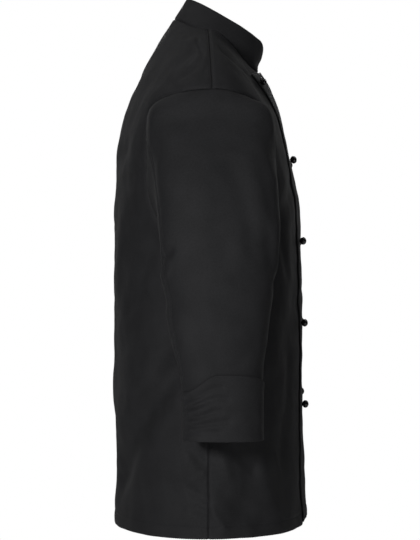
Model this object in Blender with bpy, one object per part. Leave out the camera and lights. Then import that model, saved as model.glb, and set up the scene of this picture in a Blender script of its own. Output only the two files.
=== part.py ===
"""A double-breasted chef jacket, filled out as when worn, in metres with +Z up.

The front faces -Y and the wearer's left is +X. The origin lies between the two points where the collar
seam crosses the shoulder seams, because the jacket is held up there. Tables are in millimetres: heights
are above the level hem, and a "level" is the height that a ring round the body has at centre back.
"""

import math

import bmesh
import bpy
import numpy as np
from mathutils import Matrix, Vector

MM = 0.001
HOLD_HEIGHT = 747.0  # the origin's height above the hem
WALL = 1.5 * MM  # body and sleeve cloth
COLLAR_WALL = 2.0 * MM  # two layers and a stiffener
CUFF_WALL = 2.2 * MM  # turned back, two layers
SEAM_GAP = 0.3 * MM
OVER_LIFT = 2.5 * MM  # outer face of the over front above that of the under front
HEM_LIFT = 2.5 * MM  # extra lift of the over front's far part at its hem

# Rings round the body: the points at centre front, centre back and side, and how square the ring is.
BODY_COLUMNS = ("level", "front_y", "front_h", "back_y", "side_x", "side_y", "side_h", "square")
BODY_RINGS = (
    (0, -147.5, 0, 142, 239, -1, 0, 2.2),
    (60, -146, 60, 142, 238, -1, 60, 2.15),
    (180, -143.5, 181, 143, 234, -1, 180, 2.25),
    (300, -142, 300, 145.5, 229, -1, 300, 2.35),
    (418, -139.5, 418, 146, 226, -1, 418, 2.45),
    (500, -135.5, 492, 143, 232, -2, 500, 2.5),
    (560, -125.5, 544, 139, 242, -3, 562, 2.45),
    (605, -116.5, 582, 129, 249, -5, 608, 2.35),
    (640, -109.5, 615, 117.5, 250, -6, 642, 2.2),
    (690, -96.5, 650, 100, 205, -4, 690, 1.9),
    (735, -86, 675, 76, 135, -2, 727, 1.9),
    (772, -79, 689, 53, 75, 0, 749, 2.0),
)
FRONT_RISE_POWER = 4.2  # how late a ring climbs from centre front to the side
BACK_RISE_POWER = 2.2

UNDERARM_LEVEL = 418.0
SHOULDER_LEVEL = 641.0
NECK_LEVEL = 772.0
ARMHOLE_FRONT_Y = -84.0
ARMHOLE_BACK_Y = 90.0
ARMHOLE_TOP_SQUARE = 9.0
ARMHOLE_LOW_SQUARE = 2.3
ARMHOLE_DROP = {True: -8.0, False: 18.0}  # how far the seam's top falls towards the front and the back

# The lateral reach of each front past centre front, by level.
OVER_REACH = ((0, 84), (420, 80), (560, 85), (620, 95), (650, 106), (690, 113), (712, 119), (772, 119))
UNDER_REACH = ((0, 68), (680, 66), (710, 42), (735, 14), (772, 2))
OVER_CORNER_LEVEL = 712.0
OVER_HEM_RISE = 5.0
UNDER_CORNER_LEVEL = 725.0
LIFT_START = (100.0, 18.0)  # where the over front starts to rise, below and at the neck
LIFT_FULL = (72.0, 3.0)
LIFT_LEVELS = (695.0, 765.0)
HEM_LIFT_LEVEL = 140.0  # the extra lift fades out from the hem to here
HEM_LIFT_REACH = (-80.0, 20.0)  # x between which it grows

# Soft folds of the body: angle and level of both ends, then depth and width. Angles are in degrees from
# centre front towards the wearer's right.
BODY_FOLDS = (
    (104, 250, 150, 80, -5.0, 26),
    (122, 300, 158, 170, 3.5, 30),
    (20, 520, 52, 440, -4.5, 20),
    (36, 380, 60, 250, 3.0, 34),
    (66, 120, 74, -20, -3.5, 22),
    (118, 60, 124, -20, 3.0, 26),
    (-22, 515, -50, 452, -4.0, 22),
    (-40, 360, -62, 235, 3.0, 32),
    (-102, 262, -146, 96, -4.5, 28),
    (-128, 290, -160, 165, 3.5, 30),
    (-68, 130, -78, -20, -3.0, 24),
    (168, 420, 190, 250, -1.5, 34),
    (178, 200, 170, 40, 1.5, 36),
)
FOLD_RADIUS = 200.0  # turns a fold's angle into a length round the body

# Rings down the sleeve: x and height of the point next to the body and of the one furthest from it, y of
# the front and back edges, squareness of the outer half, how far the front and back lie nearer the body
# than the axis, and how far the ring's top leans back.
SLEEVE_RINGS = (
    (235.5, 416, 259, 624, -96.5, 86, 7.5, -27, 2),
    (239.5, 406, 272, 594, -98.5, 78, 5.0, -15, 4),
    (241, 386, 293, 548, -100, 72, 3.6, -6, 4),
    (242, 355, 313, 492, -99, 67.5, 2.8, 0, 2),
    (243, 322, 325, 430, -95, 65, 2.5, 0, 0),
    (244.5, 288, 331, 368, -88.5, 59, 2.4, 0, 0),
    (247.5, 256, 334, 308, -82.5, 50.5, 2.3, 0, 0),
    (251, 225, 334, 261, -77.5, 41, 2.3, 0, 0),
    (254.5, 193, 333, 210, -75.7, 34.5, 2.3, 0, 0),
    (256.5, 147, 332, 147, -75.7, 33.3, 2.3, 0, 0),
)
# Folds of the sleeve: the shares round from the underarm and down from the armhole at both ends, then depth
# and width.
SLEEVE_FOLDS = (
    (0.38, 0.26, 0.33, 0.47, -2.5, 14),
    (0.33, 0.22, 0.29, 0.42, 2.0, 16),
    (0.80, 0.50, 0.68, 0.58, -3.0, 14),
    (0.42, 0.10, 0.62, 0.10, -2.5, 16),
)
SLEEVE_GIRTH = 430.0
SLEEVE_LENGTH = 500.0
SLEEVE_HEM = 0.992  # the sleeve stops this far along, inside its cuff
SLEEVE_FOLD_START = 0.04  # the folds fade in from the armhole to here
SLEEVE_ROW_POWER = 1.15  # rows are closer together near the armhole
BACK_SEAM = 17  # ring points where the top sleeve meets the under sleeve
INNER_SEAM = 4

CUFF_CLEARANCE = 0.5 * MM
CUFF_TOP_FRONT = 0.812  # along the sleeve
CUFF_TOP_BACK = 0.852
CUFF_TOP_RISE = (-30.0, 36.0)  # y between which the cuff's top edge passes from its front to its back level

COLLAR_BACK = (33.0, 803.0)  # y and height of the collar's top edge
COLLAR_FRONT = (-82.0, 736.5)
COLLAR_HALF_WIDTH = 61.0
COLLAR_CORNER = 20.0
COLLAR_FLARE = 8.0  # how far the round corners tip forward
COLLAR_HEIGHT_FRONT = 45.0
COLLAR_END_ANGLE = 1.6  # degrees from centre front

BUTTON_RADIUS = 5.9 * MM
BUTTON_HEIGHT = 9.2 * MM
BUTTON_NECK = 2.6 * MM
BUTTON_FLATNESS = 0.82  # height of the ball over its width
BUTTON_RINGS = 6
BUTTON_RING_TURN = 25.0  # degrees from one ring of the ball to the next
BUTTON_STANDOFF = 1.1 * MM
BUTTON_STEPS = 12
# Rows of buttons: height, distance of the right and left one from centre front, and how much higher the
# left one sits.
BUTTON_ROWS = (
    (661.5, 104, 98, 0),
    (549, 73, 73, 0),
    (428, 66, 66, 0),
    (304, 66, 66, 0),
    (181, 66, 66, 11),
)

# How finely the cloth is divided.
HALF_RING = 12
LOW_SEGMENTS = 3  # of the armhole, along the top of the side panels
TOP_SEGMENTS = 3  # of the armhole, across the shoulder
CENTRE_SEGMENTS = 8
HEM_ROWS = 13
YOKE_ROWS = 6
OVER_SEGMENTS = 7
UNDER_SEGMENTS = 4
SLEEVE_ROWS = 17
CUFF_ROWS = 4
COLLAR_ROWS = 4

CURVE_SAMPLES = 721  # points on a drawn curve before it is divided evenly
NORMAL_ANGLE = 0.004  # steps over which a surface's direction is read, in radians and levels
NORMAL_LEVEL = 0.6
SHARP_EDGE = math.radians(40)

CLOTH_COLOUR = (0.022, 0.022, 0.025, 1.0)
CLOTH_ROUGHNESS = 0.85
BUTTON_COLOUR = (0.012, 0.012, 0.013, 1.0)
BUTTON_ROUGHNESS = 0.25


def column(table, columns, name):
    place = columns.index(name)
    return np.array([row[place] for row in table], float)


def smooth(keys, values, at):
    """A smooth curve through the values, read at the given places."""
    keys = np.asarray(keys, float)
    values = np.asarray(values, float)
    slopes = np.gradient(values, keys)
    at = np.asarray(at, float)
    first = np.clip(np.searchsorted(keys, at) - 1, 0, len(keys) - 2)
    span = keys[first + 1] - keys[first]
    part = (at - keys[first]) / span
    rise = values[first + 1] - values[first]
    start, end = slopes[first] * span, slopes[first + 1] * span
    curve = start * part * (1 - part) ** 2 - end * (1 - part) * part**2
    return values[first] + rise * part**2 * (3 - 2 * part) + curve


def ease(low, high, value):
    part = np.clip((value - low) / (high - low), 0, 1)
    return part * part * (3 - 2 * part)


def unit(vectors):
    return vectors / np.maximum(np.linalg.norm(vectors, axis=-1, keepdims=True), 1e-12)


def body_ring(name, level):
    return smooth(column(BODY_RINGS, BODY_COLUMNS, "level"), column(BODY_RINGS, BODY_COLUMNS, name), level)


def body_base(angle, level):
    """Points in millimetres on the body without folds. The angle runs from centre front to the right."""
    front = np.cos(angle) >= 0
    side = np.abs(np.sin(angle))
    power = 2 / body_ring("square", level)
    depth = np.abs(np.cos(angle)) ** power
    end_y = np.where(front, body_ring("front_y", level), body_ring("back_y", level))
    end_h = np.where(front, body_ring("front_h", level), level)
    rise = side ** np.where(front, FRONT_RISE_POWER, BACK_RISE_POWER)
    x = -np.sign(np.sin(angle)) * body_ring("side_x", level) * side**power
    y = body_ring("side_y", level) + (end_y - body_ring("side_y", level)) * depth
    h = end_h + (body_ring("side_h", level) - end_h) * rise
    return np.stack([x, y, h], axis=-1)


def fold_depth(table, across, along, girth, length):
    """The sum of the soft troughs and ridges, each fading away from its own line.

    girth and length turn the table's places, and across and along, into millimetres.
    """
    total = np.zeros(np.shape(across))
    for across_from, along_from, across_to, along_to, depth, width in table:
        start = np.array([across_from * girth, along_from * length])
        run = np.array([across_to * girth, along_to * length]) - start
        place = np.stack([across * girth, along * length], axis=-1) - start
        part = np.clip((place @ run) / (run @ run), 0, 1)
        away = np.linalg.norm(place - part[..., None] * run, axis=-1)
        total += depth * np.exp(-((away / width) ** 2))
    return total


def surface_normals(surface, angle, level):
    up = surface(angle, np.minimum(level + NORMAL_LEVEL, NECK_LEVEL)) - surface(angle, level - NORMAL_LEVEL)
    round_right = surface(angle + NORMAL_ANGLE, level) - surface(angle - NORMAL_ANGLE, level)
    return unit(np.cross(up, round_right))


def body(angle, level):
    """Points in metres on the body's outer face, folds included."""
    turn = np.degrees((angle + math.pi / 2) % (2 * math.pi) - math.pi / 2)
    folds = np.zeros(np.shape(turn))
    for shift in (0, 360):
        per_degree = math.radians(1) * FOLD_RADIUS
        folds += fold_depth(BODY_FOLDS, turn - shift, level, per_degree, 1)
    points = body_base(angle, level) + folds[..., None] * surface_normals(body_base, angle, level)
    return (points - (0, 0, HOLD_HEIGHT)) * MM


def body_normals(angle, level):
    return surface_normals(body, angle, level)


def angle_at_y(y, level, front):
    end_y = body_ring("front_y" if front else "back_y", level)
    side_y = body_ring("side_y", level)
    depth = np.clip((y - side_y) / (end_y - side_y), 0, 1)
    turn = np.arccos(depth ** (body_ring("square", level) / 2))
    return turn if front else math.pi - turn


def angle_at_x(x, level):
    """The front angle where the body is x from its middle plane, x and angle positive to the right."""
    share = np.clip(np.abs(x) / body_ring("side_x", level), 0, 1)
    return np.sign(x) * np.arcsin(share ** (body_ring("square", level) / 2))


def armhole(front):
    """Angles and levels of half the armhole seam, evenly spaced from the underarm to the shoulder."""
    turn = np.linspace(-math.pi / 2, math.pi / 2, CURVE_SAMPLES)
    power = 2 / np.where(turn < 0, ARMHOLE_LOW_SQUARE, ARMHOLE_TOP_SQUARE)
    middle = (SHOULDER_LEVEL + UNDERARM_LEVEL) / 2
    half = (SHOULDER_LEVEL - UNDERARM_LEVEL) / 2
    level = middle + half * np.sign(np.sin(turn)) * np.abs(np.sin(turn)) ** power
    side_y = body_ring("side_y", level)
    edge_y = ARMHOLE_FRONT_Y if front else ARMHOLE_BACK_Y
    reach = np.abs(np.cos(turn)) ** power
    y = side_y + (edge_y - side_y) * reach
    level = level - ARMHOLE_DROP[front] * reach**2 * np.maximum(np.sin(turn), 0) ** power
    length = np.concatenate([[0], np.cumsum(np.hypot(np.diff(y), np.diff(level)))])
    even = np.linspace(0, length[-1], HALF_RING + 1)
    level = np.interp(even, length, level)
    return angle_at_y(np.interp(even, length, y), level, front), level


def half_blocks(front, hem_rise=0.0):
    """The angles and levels of three blocks: below the armhole, beside it and above it.

    Angles are counted from the centre line of that half, front or back, to the side. The hem rises by
    hem_rise towards the centre line.
    """
    seam_angle, seam_level = armhole(front)
    if not front:
        seam_angle = math.pi - seam_angle
    low, top = LOW_SEGMENTS, HALF_RING - TOP_SEGMENTS
    centre = np.linspace(0, 1, CENTRE_SEGMENTS + 1)[:-1]

    def joined(values, corner, inner):
        return np.concatenate([inner * corner, values])

    def block(angles, levels, start, rows, extra):
        """Rows between the hem or neck and the row that follows the armhole."""
        even = np.linspace(0, math.pi / 2, CENTRE_SEGMENTS + extra + 1)
        part = np.linspace(0, 1, rows + 1)[:, None]
        start = start * (1 - even / (math.pi / 2)) if start < UNDERARM_LEVEL else start
        return even + (angles - even) * part, start + (levels - start) * part

    flat = np.ones(CENTRE_SEGMENTS)
    below = block(
        joined(seam_angle[low::-1], seam_angle[low], centre),
        joined(seam_level[low::-1], seam_level[low], flat),
        hem_rise,
        HEM_ROWS,
        low,
    )
    rows = slice(low, top + 1)
    across = np.linspace(0, 1, CENTRE_SEGMENTS + 1)
    beside = (seam_angle[rows, None] * across, seam_level[rows, None] * np.ones(CENTRE_SEGMENTS + 1))
    above = block(
        joined(seam_angle[top:], seam_angle[top], centre),
        joined(seam_level[top:], seam_level[top], flat),
        NECK_LEVEL,
        YOKE_ROWS,
        TOP_SEGMENTS,
    )
    above = (above[0][::-1], above[1][::-1])
    return below, beside, above


def overlap_blocks(reach_table, corner_level, segments, hem_rise=0.0):
    """The strip of a front that crosses centre front, with its top edge falling to the corner."""
    share = np.linspace(0, 1, segments + 1)
    reach = np.array(reach_table, float)
    blocks = []
    for _, level in half_blocks(True, hem_rise):
        level = level[:, :1] * np.ones(segments + 1)
        top_share = (level - level[0, 0]) / (NECK_LEVEL - level[0, 0])
        if level[-1, 0] == NECK_LEVEL:
            level = level - top_share * share * (NECK_LEVEL - corner_level)
        x = share * np.interp(level, reach[:, 0], reach[:, 1])
        blocks.append((angle_at_x(x, level), level))
    return blocks


def over_lift(x, level):
    """How far the over front stands off the body. x is in millimetres, positive to the wearer's left."""
    climb = ease(LIFT_LEVELS[0], LIFT_LEVELS[1], level)
    start = LIFT_START[0] + (LIFT_START[1] - LIFT_START[0]) * climb
    full = LIFT_FULL[0] + (LIFT_FULL[1] - LIFT_FULL[0]) * climb
    height = OVER_LIFT + HEM_LIFT * (1 - ease(0, HEM_LIFT_LEVEL, level)) * ease(*HEM_LIFT_REACH, x)
    return height * (1 - ease(full, start, x))


def over(angle, level):
    lift = over_lift(body_base(angle, level)[..., 0], level)
    return body(angle, level) + lift[..., None] * body_normals(angle, level)


def patch(surface, angle, level):
    """A grid of points with their outward normals."""
    return surface(angle, level), surface_normals(surface, angle, level)


def grid_normals(points, closed):
    """Normals of a grid that surrounds a hollow, facing out of it."""
    if closed:
        across = np.roll(points, -1, axis=1) - np.roll(points, 1, axis=1)
    else:
        across = np.gradient(points, axis=1)
    normals = unit(np.cross(across, np.gradient(points, axis=0)))
    middles = points.mean(axis=1, keepdims=True)
    return normals * np.sign(np.sum(normals * (points - middles)))


def place_key(point):
    return tuple(float(value) for value in np.round(point, 5) + 0.0)


def boundary(faces):
    """The faces' free edges, each as the pair of points in its face's order."""
    seen = {}
    for face in faces:
        for start, end in zip(face, face[1:] + face[:1]):
            seen[start, end] = True
    return [edge for edge in seen if (edge[1], edge[0]) not in seen]


def merged(patches, mitres):
    """Points, normals and faces of patches that share edges. A seam takes its normals from mitres.

    The faces of a patch all wind round its normals.
    """
    index, points, normals, faces = {}, [], [], []
    for grid, grid_normal in patches:
        rows, columns = grid.shape[:2]
        names = np.empty((rows, columns), int)
        for row in range(rows):
            for place in range(columns):
                key = place_key(grid[row, place])
                if key not in index:
                    index[key] = len(points)
                    points.append(grid[row, place])
                    normals.append(mitres.get(key, grid_normal[row, place]))
                names[row, place] = index[key]
        across, down = np.gradient(grid, axis=1), np.gradient(grid, axis=0)
        turn = 1 if np.sum(np.cross(down, across) * grid_normal) > 0 else -1
        for row in range(rows - 1):
            for place in range(columns - 1):
                corners = [
                    names[row, place],
                    names[row + 1, place],
                    names[row + 1, place + 1],
                    names[row, place + 1],
                ]
                if len(set(corners)) > 2:
                    faces.append([int(name) for name in dict.fromkeys(corners)][::turn])
    return np.array(points), np.array(normals), faces


def trimmed(points, normals, faces):
    """The points, with each free edge drawn back by half a seam gap."""
    inward = {}
    for start, end in boundary(faces):
        back = unit(np.cross(normals[start], points[end] - points[start]))
        for name in (start, end):
            inward.setdefault(name, []).append(back)
    points = points.copy()
    for name, directions in inward.items():
        middle = unit(np.sum(directions, axis=0))
        points[name] += middle * SEAM_GAP / 2 / max(float(directions[0] @ middle), 0.5)
    return points


def material(name, colour, roughness):
    found = bpy.data.materials.new(name)
    found.use_nodes = True
    shader = found.node_tree.nodes["Principled BSDF"]
    shader.inputs["Base Color"].default_value = colour
    shader.inputs["Roughness"].default_value = roughness
    found.diffuse_color = colour
    return found


def add_object(name, mesh, finish, collection):
    made = bpy.data.objects.new(name, mesh)
    mesh.materials.append(finish)
    mesh.shade_smooth()
    mesh.set_sharp_from_angle(angle=SHARP_EDGE)
    collection.objects.link(made)
    return made


def wall_solid(name, patches, thickness, mitres, finish, collection):
    """One closed wall of cloth: the outer faces, the same faces moved in, and a rim along each free edge."""
    points, normals, faces = merged(patches, mitres)
    points = trimmed(points, normals, faces)
    count = len(points)
    inner_faces = [[name + count for name in face[:1] + face[:0:-1]] for face in faces]
    rim = [[end, start, start + count, end + count] for start, end in boundary(faces)]
    mesh = bpy.data.meshes.new(name)
    both_sides = np.concatenate([points, points - normals * thickness])
    mesh.from_pydata(both_sides.tolist(), [], faces + inner_faces + rim)
    return add_object(name, mesh, finish, collection)


def sleeve_rings(side):
    """The sleeve's rings of points, from the armhole to the hem. side is 1 for the wearer's right."""
    rings = []
    halves = [body(side * angle, level) for angle, level in (armhole(True), armhole(False))]
    rings.append(np.concatenate([halves[0], halves[1][-2:0:-1]]))
    turn = np.linspace(-math.pi / 2, math.pi / 2, CURVE_SAMPLES)
    for row in SLEEVE_RINGS:
        inner_x, inner_h, outer_x, outer_h, front_y, back_y, square, tuck, lean = row
        power = 2 / np.where(turn < 0, ARMHOLE_LOW_SQUARE, square)
        climb = np.sign(np.sin(turn)) * np.abs(np.sin(turn)) ** power
        bulge = np.abs(np.cos(turn)) ** power
        x = (inner_x + outer_x) / 2 + (outer_x - inner_x) / 2 * climb + tuck * bulge**2
        h = (inner_h + outer_h) / 2 + (outer_h - inner_h) / 2 * climb
        middle = (front_y + back_y) / 2
        half_rings = []
        for edge in (front_y, back_y):
            y = middle + (edge - middle) * bulge + lean * climb
            line = np.stack([-side * x, y, h - HOLD_HEIGHT], axis=-1) * MM
            length = np.concatenate([[0], np.cumsum(np.linalg.norm(np.diff(line, axis=0), axis=1))])
            even = np.linspace(0, length[-1], HALF_RING + 1)
            columns = [np.interp(even, length, line[:, axis]) for axis in range(3)]
            half_rings.append(np.stack(columns, axis=-1))
        rings.append(np.concatenate([half_rings[0], half_rings[1][-2:0:-1]]))
    return np.array(rings)


def sleeve(side, along):
    """Sleeve points and normals for a grid of places along, a row of places for each ring point."""
    rings = sleeve_rings(side)
    middles = rings.mean(axis=1)
    steps = np.linalg.norm(np.diff(middles, axis=0), axis=1)
    keys = np.concatenate([[0], np.cumsum(steps)]) / steps.sum()
    places = np.arange(2 * HALF_RING)
    smooth_points = np.stack(
        [[smooth(keys, rings[:, place, axis], along[:, place]) for place in places] for axis in range(3)],
        axis=-1,
    ).transpose(1, 0, 2)
    normals = grid_normals(smooth_points, True)
    around = places / (2 * HALF_RING)
    around = around * np.ones_like(along)
    fade = ease(0, SLEEVE_FOLD_START, along)
    folds = fold_depth(SLEEVE_FOLDS, around, along, SLEEVE_GIRTH, SLEEVE_LENGTH)
    points = smooth_points + (folds * fade * MM)[..., None] * normals
    return points, grid_normals(points, True)


def sleeve_grid(side):
    rows = np.linspace(0, 1, SLEEVE_ROWS + 1) ** SLEEVE_ROW_POWER * SLEEVE_HEM
    return sleeve(side, rows[:, None] * np.ones(2 * HALF_RING))


def armhole_mitres(side, mitres):
    """Along the armhole, body and sleeve share normals half way between their own."""
    points, normals = sleeve_grid(side)
    halves = [body_normals(side * angle, level) for angle, level in (armhole(True), armhole(False))]
    body_side = np.concatenate([halves[0], halves[1][-2:0:-1]])
    for point, one, other in zip(points[0], body_side, normals[0]):
        mitres[place_key(point)] = unit(one + other)


def collar_grid():
    """The collar band's points, from its right end round the back to its left end, bottom row first."""
    front = np.linspace(0, math.pi / 2, CENTRE_SEGMENTS + TOP_SEGMENTS + 1)
    right = np.concatenate([front, math.pi - front[-2::-1]])
    angles = np.concatenate([right, 2 * math.pi - right[-2::-1]])
    end = math.radians(COLLAR_END_ANGLE)
    angles[0], angles[-1] = end, 2 * math.pi - end
    seam = body(angles, np.full(angles.shape, NECK_LEVEL))
    middle = (COLLAR_BACK[0] + COLLAR_FRONT[0]) / 2
    y = middle + (COLLAR_FRONT[0] - middle) * np.cos(angles)
    slope = (COLLAR_BACK[1] - COLLAR_FRONT[1]) / (COLLAR_BACK[0] - COLLAR_FRONT[0])
    h = COLLAR_FRONT[1] + slope * (y - COLLAR_FRONT[0])
    top = np.stack([-COLLAR_HALF_WIDTH * np.sin(angles), y, h - HOLD_HEIGHT], axis=-1) * MM
    run = np.concatenate([[0], np.cumsum(np.linalg.norm(np.diff(top, axis=0), axis=1))]) / MM
    from_end = np.minimum(run, run[-1] - run)
    short = np.clip(1 - from_end / COLLAR_CORNER, 0, 1)
    drop = COLLAR_CORNER * (1 - np.sqrt(1 - short**2)) / COLLAR_HEIGHT_FRONT
    top[:, 1] -= COLLAR_FLARE * short * MM
    share = np.linspace(0, 1, COLLAR_ROWS + 1)[:, None, None] * (1 - drop)[:, None]
    return seam + (top - seam) * share


def neck_mitres(points, normals, mitres):
    count = points.shape[1]
    front = np.linspace(0, math.pi / 2, CENTRE_SEGMENTS + TOP_SEGMENTS + 1)
    right = np.concatenate([front, math.pi - front[-2::-1]])
    angles = np.concatenate([right, 2 * math.pi - right[-2::-1]])
    body_side = body_normals(angles, np.full(count, NECK_LEVEL))
    for place in range(1, count - 1):
        mitres[place_key(points[0, place])] = unit(body_side[place] + normals[0, place])


def button_mesh(name):
    """A ball button: a flattened ball on a short neck, turned about Z, with its foot at z = 0."""
    half_height = BUTTON_RADIUS * BUTTON_FLATNESS
    middle = BUTTON_HEIGHT - half_height
    profile = [(0, BUTTON_HEIGHT)]
    for step in range(1, BUTTON_RINGS + 1):
        turn = math.radians(90 - BUTTON_RING_TURN * step)
        profile.append((BUTTON_RADIUS * math.cos(turn), middle + half_height * math.sin(turn)))
    profile += [(BUTTON_NECK, middle - half_height), (BUTTON_NECK, 0), (0, 0)]
    shape = bmesh.new()
    points = [shape.verts.new((radius, 0, height)) for radius, height in profile]
    edges = [shape.edges.new(pair) for pair in zip(points, points[1:])]
    bmesh.ops.spin(
        shape,
        geom=points + edges,
        axis=(0, 0, 1),
        cent=(0, 0, 0),
        angle=2 * math.pi,
        steps=BUTTON_STEPS,
    )
    bmesh.ops.remove_doubles(shape, verts=shape.verts, dist=0.00001)
    bmesh.ops.recalc_face_normals(shape, faces=shape.faces)
    mesh = bpy.data.meshes.new(name)
    shape.to_mesh(mesh)
    shape.free()
    return mesh


def add_button(name, x, height, finish, collection):
    """A button on the over front, x from the middle plane (to the wearer's right) at that height."""
    levels = np.linspace(0, NECK_LEVEL, CURVE_SAMPLES)
    heights = body_base(angle_at_x(np.full(CURVE_SAMPLES, x), levels), levels)[:, 2]
    level = np.array([np.interp(height, heights, levels)])
    angle = angle_at_x(np.array([x]), level)
    point, normal = over(angle, level)[0], surface_normals(over, angle, level)[0]
    made = add_object(name, button_mesh(name), finish, collection)
    turn = Vector(normal).to_track_quat("Z", "Y").to_matrix().to_4x4()
    made.matrix_world = Matrix.Translation(Vector(point + normal * BUTTON_STANDOFF)) @ turn


def main():
    for old in list(bpy.data.objects):
        bpy.data.objects.remove(old)
    jacket = bpy.data.collections.new("chef_jacket")
    bpy.context.scene.collection.children.link(jacket)
    cloth = material("cloth", CLOTH_COLOUR, CLOTH_ROUGHNESS)
    plastic = material("button", BUTTON_COLOUR, BUTTON_ROUGHNESS)

    mitres = {}
    for side in (1, -1):
        armhole_mitres(side, mitres)
    collar = collar_grid()
    collar_normals = grid_normals(collar, False)
    neck_mitres(collar, collar_normals, mitres)

    front_blocks, back_blocks = half_blocks(True), half_blocks(False)
    back = []
    for angle, level in back_blocks:
        back += [patch(body, math.pi - angle, level), patch(body, math.pi + angle, level)]
    wall_solid("back", back, WALL, mitres, cloth, jacket)
    right = [patch(body, angle, level) for angle, level in front_blocks]
    flap = overlap_blocks(UNDER_REACH, UNDER_CORNER_LEVEL, UNDER_SEGMENTS)
    right += [patch(body, -angle, level) for angle, level in flap]
    wall_solid("front_right", right, WALL, mitres, cloth, jacket)
    left = [patch(over, -angle, level) for angle, level in half_blocks(True, OVER_HEM_RISE)]
    flap = overlap_blocks(OVER_REACH, OVER_CORNER_LEVEL, OVER_SEGMENTS, OVER_HEM_RISE)
    left += [patch(over, angle, level) for angle, level in flap]
    wall_solid("front_left", left, WALL, mitres, cloth, jacket)
    wall_solid("collar", [(collar, collar_normals)], COLLAR_WALL, mitres, cloth, jacket)

    for side, name in ((1, "right"), (-1, "left")):
        points, normals = sleeve_grid(side)
        around = np.arange(INNER_SEAM, BACK_SEAM + 1)
        wall_solid(
            f"top_sleeve_{name}", [(points[:, around], normals[:, around])], WALL, mitres, cloth, jacket
        )
        around = np.arange(BACK_SEAM, 2 * HALF_RING + INNER_SEAM + 1) % (2 * HALF_RING)
        wall_solid(
            f"under_sleeve_{name}", [(points[:, around], normals[:, around])], WALL, mitres, cloth, jacket
        )
        places = np.arange(2 * HALF_RING)
        front_to_back = ease(*CUFF_TOP_RISE, points[-1, :, 1] / MM)
        top = CUFF_TOP_FRONT + (CUFF_TOP_BACK - CUFF_TOP_FRONT) * front_to_back
        along = 1 - (1 - top) * np.linspace(1, 0, CUFF_ROWS + 1)[:, None]
        cuff, cuff_normals = sleeve(side, along)
        cuff = cuff + cuff_normals * (CUFF_CLEARANCE + CUFF_WALL)
        around = np.append(places, 0)
        wall_solid(
            f"cuff_{name}", [(cuff[:, around], cuff_normals[:, around])], CUFF_WALL, mitres, cloth, jacket
        )

    for number, (height, right_x, left_x, left_rise) in enumerate(BUTTON_ROWS, start=1):
        add_button(f"button_right_{number}", right_x, height, plastic, jacket)
        add_button(f"button_left_{number}", -left_x, height + left_rise, plastic, jacket)


main()
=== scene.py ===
"""Looks of the double-breasted chef jacket: cloth shells, sewing, ball buttons, materials, light and camera.

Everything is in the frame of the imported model: metres, +Z up, front towards -Y, wearer's left towards +X,
origin between the collar's shoulder points. Tables are in millimetres, with heights above the level hem.
"""

from math import ceil, cos, pi, radians, sin

import bpy
import numpy as np
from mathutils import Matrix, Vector
from mathutils.bvhtree import BVHTree
from mathutils.kdtree import KDTree


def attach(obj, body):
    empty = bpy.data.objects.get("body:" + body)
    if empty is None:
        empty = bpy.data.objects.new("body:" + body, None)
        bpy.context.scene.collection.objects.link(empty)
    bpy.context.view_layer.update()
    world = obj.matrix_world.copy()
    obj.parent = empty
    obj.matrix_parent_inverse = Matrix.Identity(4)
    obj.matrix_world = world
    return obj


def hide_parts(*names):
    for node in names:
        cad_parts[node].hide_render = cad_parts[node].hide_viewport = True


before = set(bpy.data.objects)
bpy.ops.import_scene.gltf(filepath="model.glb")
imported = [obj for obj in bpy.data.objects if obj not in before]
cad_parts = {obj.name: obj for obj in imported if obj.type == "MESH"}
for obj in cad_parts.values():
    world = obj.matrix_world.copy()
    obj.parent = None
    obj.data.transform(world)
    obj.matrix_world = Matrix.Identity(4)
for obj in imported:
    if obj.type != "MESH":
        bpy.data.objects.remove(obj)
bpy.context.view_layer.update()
scene = bpy.context.scene

MM = 0.001
HOLD_HEIGHT = 747.0  # of the origin, above the level hem
RIGHT, LEFT = 1, -1  # signs of the angle round the body
SIDES = ((RIGHT, "right"), (LEFT, "left"))

# -------- the jacket's form, as in the part's source

BODY_COLUMNS = ("level", "front_y", "front_h", "back_y", "side_x", "side_y", "side_h", "square")
BODY_RINGS = (
    (0, -147.5, 0, 142, 239, -1, 0, 2.2),
    (60, -146, 60, 142, 238, -1, 60, 2.15),
    (180, -143.5, 181, 143, 234, -1, 180, 2.25),
    (300, -142, 300, 145.5, 229, -1, 300, 2.35),
    (418, -139.5, 418, 146, 226, -1, 418, 2.45),
    (500, -135.5, 492, 143, 232, -2, 500, 2.5),
    (560, -125.5, 544, 139, 242, -3, 562, 2.45),
    (605, -116.5, 582, 129, 249, -5, 608, 2.35),
    (640, -109.5, 615, 117.5, 250, -6, 642, 2.2),
    (690, -96.5, 650, 100, 205, -4, 690, 1.9),
    (735, -86, 675, 76, 135, -2, 727, 1.9),
    (772, -79, 689, 53, 75, 0, 749, 2.0),
)
FRONT_RISE_POWER = 4.2
BACK_RISE_POWER = 2.2
UNDERARM_LEVEL = 418.0
SHOULDER_LEVEL = 641.0
NECK_LEVEL = 772.0
ARMHOLE_FRONT_Y = -84.0
ARMHOLE_BACK_Y = 90.0
ARMHOLE_TOP_SQUARE = 9.0
ARMHOLE_LOW_SQUARE = 2.3
ARMHOLE_DROP = {True: -8.0, False: 18.0}  # in front and behind
ARMHOLE_LOW_CORNER = 0.25  # shares of the half armhole where its blocks change
ARMHOLE_TOP_CORNER = 0.75
CORNER_TURN = radians(65.45)

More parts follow.
